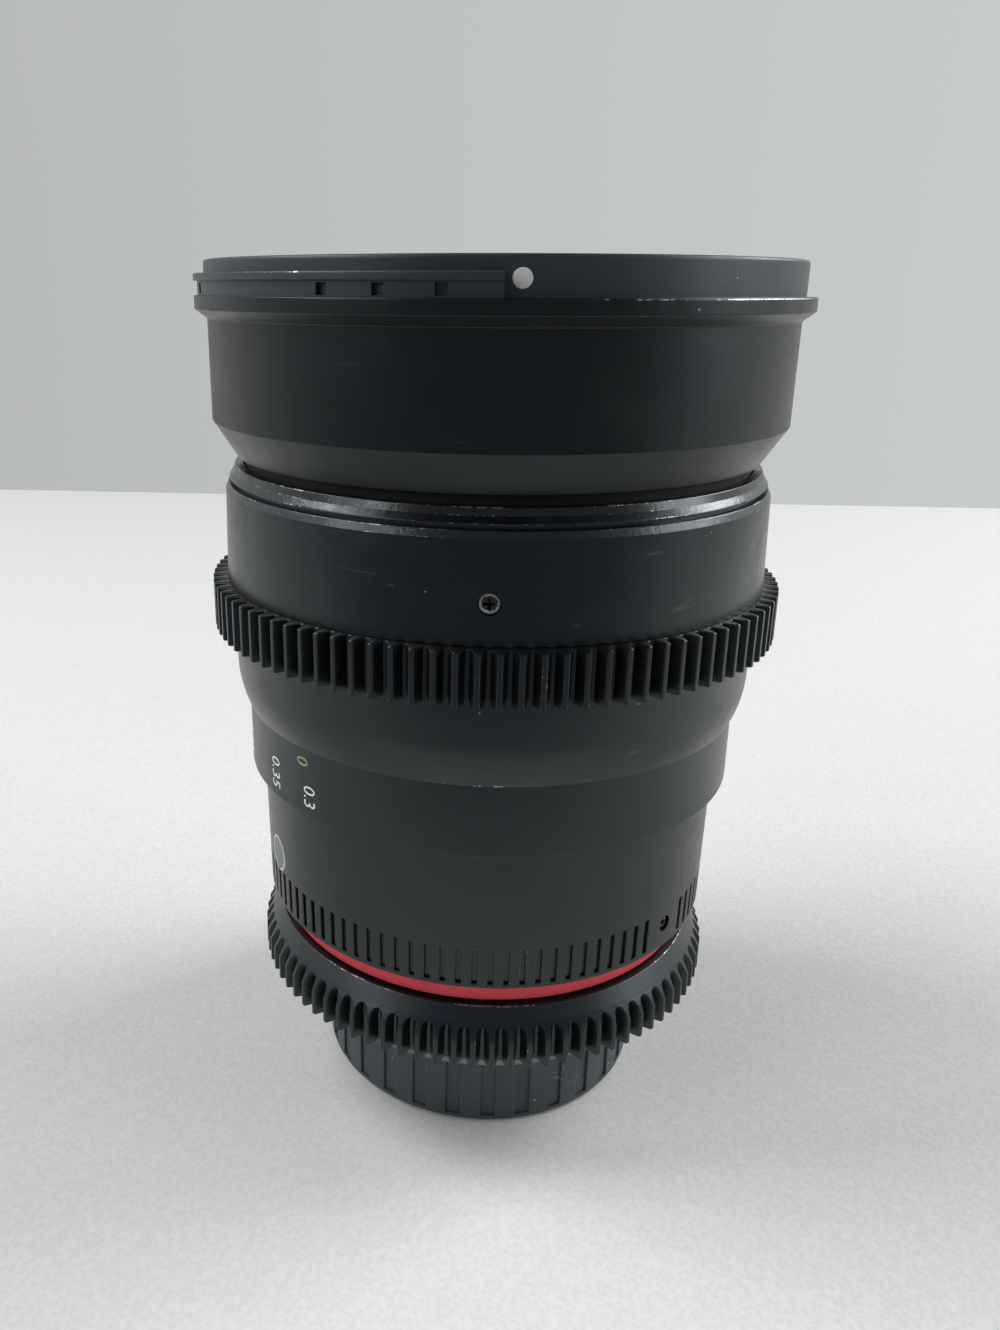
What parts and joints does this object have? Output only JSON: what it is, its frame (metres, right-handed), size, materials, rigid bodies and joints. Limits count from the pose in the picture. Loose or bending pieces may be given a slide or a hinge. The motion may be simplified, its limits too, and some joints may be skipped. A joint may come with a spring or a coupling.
{
  "type": "cinema prime lens",
  "caption": "Cinema prime lens with geared focus and iris rings, internal focusing, a working iris, a hood bayonet and a rear cap.",
  "frame": {"origin": "centre of the rear cap's underside, on the optical axis, where the lens stands", "axes": "+Z along the optical axis towards the front element, -Y towards the side with the focus ring's cross-head screw, +X to that side's right"},
  "size_m": [0.0828, 0.0828, 0.1225],
  "materials": {
    "black_metal": "satin black anodised",
    "black_plastic": "moulded, satin",
    "red_metal": "red anodised",
    "steel": "blackened, worn",
    "brass": "turned",
    "blade_steel": "matt black coated",
    "glass": "coated"
  },
  "bodies": {
    "main_barrel": {"front_barrel": "black_metal", "front_trim_ring": "black_metal", "front_cell": "black_metal", "front_element": "glass", "second_element": "glass", "main_tube": "black_metal", "guide_key": "steel", "rear_barrel": "black_metal", "rear_neck": "black_metal", "red_ring": "red_metal", "barrel_set_screw": "steel", "mount_ring": "steel", "mount_screws": "steel", "rear_baffle": "black_metal"},
    "focus_unit": {"focus_ring": "black_metal", "focus_trim_ring": "black_metal", "focus_screws": "steel", "focus_gear": "black_plastic", "scale_ring": "black_metal", "drive_key": "steel", "helicoid_ring": "brass"},
    "lens_carriage": {"optics_carriage": "black_metal", "front_lens_cell": "black_metal", "third_element": "glass", "fourth_element": "glass", "rear_lens_cell": "black_metal", "fifth_element": "glass", "rear_element": "glass", "iris_base_plate": "black_metal", "iris_cover_plate": "black_metal"},
    "iris_unit": {"iris_ring": "black_metal", "iris_gear": "black_plastic", "iris_link": "steel"},
    "iris_drive": {"iris_drive_ring": "brass"},
    "cap": {"rear_cap": "black_plastic"},
    "blade_1": {"iris_blade_1": "blade_steel"},
    "blade_2": {"iris_blade_2": "blade_steel"},
    "blade_3": {"iris_blade_3": "blade_steel"},
    "blade_4": {"iris_blade_4": "blade_steel"},
    "blade_5": {"iris_blade_5": "blade_steel"},
    "blade_6": {"iris_blade_6": "blade_steel"},
    "blade_7": {"iris_blade_7": "blade_steel"},
    "blade_8": {"iris_blade_8": "blade_steel"}
  },
  "joints": [
    {"name": "focus_turn", "type": "hinge", "parent": "main_barrel", "child": "focus_unit", "pos_m": [0, 0, 0.0768], "axis": [0, 0, 1], "range_deg": [-50, 112]},
    {"name": "carriage_slide", "type": "slide", "parent": "main_barrel", "child": "lens_carriage", "axis": [0, 0, 1], "range_m": [-0.00415, 0.00186]},
    {"name": "iris_turn", "type": "hinge", "parent": "main_barrel", "child": "iris_unit", "pos_m": [0, 0, 0.0214], "axis": [0, 0, 1], "range_deg": [0, 66]},
    {"name": "iris_drive_turn", "type": "hinge", "parent": "lens_carriage", "child": "iris_drive", "pos_m": [0, 0, 0.05335], "axis": [0, 0, 1], "range_deg": [0, 66.8]},
    {"name": "cap_twist", "type": "hinge", "parent": "main_barrel", "child": "cap", "pos_m": [0, 0, 0.007], "axis": [0, 0, 1], "range_deg": [0, 60]},
    {"name": "blade_1_swing", "type": "hinge", "parent": "lens_carriage", "child": "blade_1", "pos_m": [0.0218, 0, 0.04995], "axis": [0, 0, 1], "range_deg": [0, 33.4]},
    {"name": "blade_2_swing", "type": "hinge", "parent": "lens_carriage", "child": "blade_2", "pos_m": [0.01541, 0.01541, 0.04995], "axis": [0, 0, 1], "range_deg": [0, 33.4]},
    {"name": "blade_3_swing", "type": "hinge", "parent": "lens_carriage", "child": "blade_3", "pos_m": [0, 0.0218, 0.04995], "axis": [0, 0, 1], "range_deg": [0, 33.4]},
    {"name": "blade_4_swing", "type": "hinge", "parent": "lens_carriage", "child": "blade_4", "pos_m": [-0.01541, 0.01541, 0.04995], "axis": [0, 0, 1], "range_deg": [0, 33.4]},
    {"name": "blade_5_swing", "type": "hinge", "parent": "lens_carriage", "child": "blade_5", "pos_m": [-0.0218, 0, 0.04995], "axis": [0, 0, 1], "range_deg": [0, 33.4]},
    {"name": "blade_6_swing", "type": "hinge", "parent": "lens_carriage", "child": "blade_6", "pos_m": [-0.01541, -0.01541, 0.04995], "axis": [0, 0, 1], "range_deg": [0, 33.4]},
    {"name": "blade_7_swing", "type": "hinge", "parent": "lens_carriage", "child": "blade_7", "pos_m": [0, -0.0218, 0.04995], "axis": [0, 0, 1], "range_deg": [0, 33.4]},
    {"name": "blade_8_swing", "type": "hinge", "parent": "lens_carriage", "child": "blade_8", "pos_m": [0.01541, -0.01541, 0.04995], "axis": [0, 0, 1], "range_deg": [0, 33.4]}
  ],
  "couplings": [
    {"joint": "carriage_slide", "follows": "focus_turn", "m_per_rad": -0.0021221},
    {"joint": "iris_drive_turn", "follows": "iris_turn", "ratio": 1},
    {"joint": "blade_1_swing", "follows": "iris_turn", "ratio": 0.5},
    {"joint": "blade_2_swing", "follows": "iris_turn", "ratio": 0.5},
    {"joint": "blade_3_swing", "follows": "iris_turn", "ratio": 0.5},
    {"joint": "blade_4_swing", "follows": "iris_turn", "ratio": 0.5},
    {"joint": "blade_5_swing", "follows": "iris_turn", "ratio": 0.5},
    {"joint": "blade_6_swing", "follows": "iris_turn", "ratio": 0.5},
    {"joint": "blade_7_swing", "follows": "iris_turn", "ratio": 0.5},
    {"joint": "blade_8_swing", "follows": "iris_turn", "ratio": 0.5}
  ]
}
